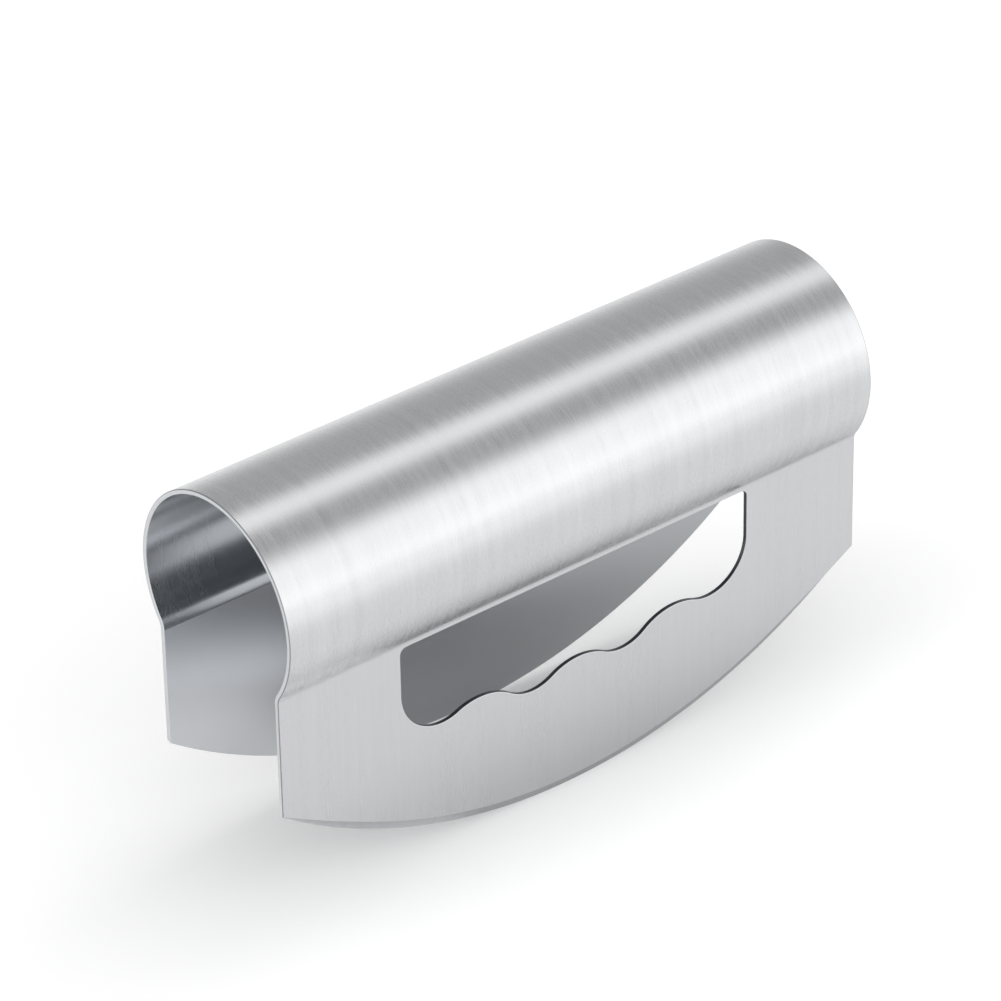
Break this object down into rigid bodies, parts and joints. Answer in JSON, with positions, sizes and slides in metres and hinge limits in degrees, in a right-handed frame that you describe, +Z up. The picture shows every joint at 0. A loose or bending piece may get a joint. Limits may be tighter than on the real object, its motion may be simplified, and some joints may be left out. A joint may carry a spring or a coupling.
{
  "type": "double-blade chopper",
  "caption": "Hand chopper of one bent steel sheet: an open tube for a grip and two parallel blades with curved cutting edges and scalloped finger windows.",
  "frame": {"origin": "midway between the lowest points of the two cutting edges", "axes": "+X along the grip, +Y from the front blade to the rear blade, +Z up"},
  "size_m": [0.15, 0.0454, 0.0873],
  "materials": {
    "grip_steel": "satin stainless steel, brushed round the tube",
    "blade_steel": "satin stainless steel, brushed from the bend down to the edge"
  },
  "bodies": {
    "root": {"grip": "grip_steel", "front_blade": "blade_steel", "rear_blade": "blade_steel"}
  },
  "joints": []
}
